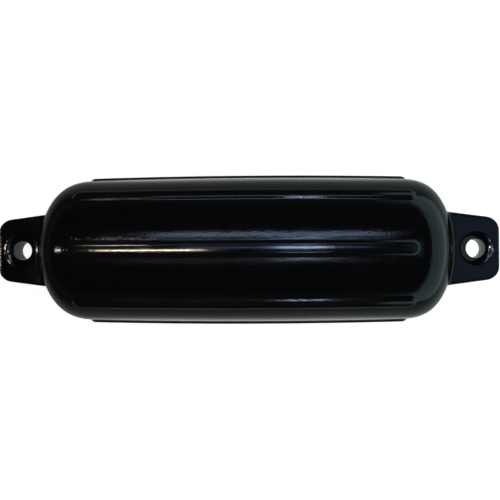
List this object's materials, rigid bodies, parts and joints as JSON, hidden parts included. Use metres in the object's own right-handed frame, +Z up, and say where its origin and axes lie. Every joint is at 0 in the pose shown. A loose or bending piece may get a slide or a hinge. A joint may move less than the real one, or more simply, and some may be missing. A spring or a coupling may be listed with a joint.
{
  "type": "pneumatic fender",
  "caption": "Inflatable ribbed vinyl boat fender: a hollow barrel with full domed ends and a solid eye with a dished rope hole at each end.",
  "frame": {"origin": "under the middle of the fender, on the surface that it lies on", "axes": "+X along the fender from eye to eye, +Z up along the axes of the eye holes, +Y across"},
  "size_m": [0.548, 0.165, 0.1639],
  "materials": {
    "gloss_vinyl": "glossy black moulded vinyl with a fine grain",
    "valve_rubber": "matt black moulded rubber"
  },
  "bodies": {
    "root": {"fender_body": "gloss_vinyl", "valve_plug": "valve_rubber"}
  },
  "joints": []
}
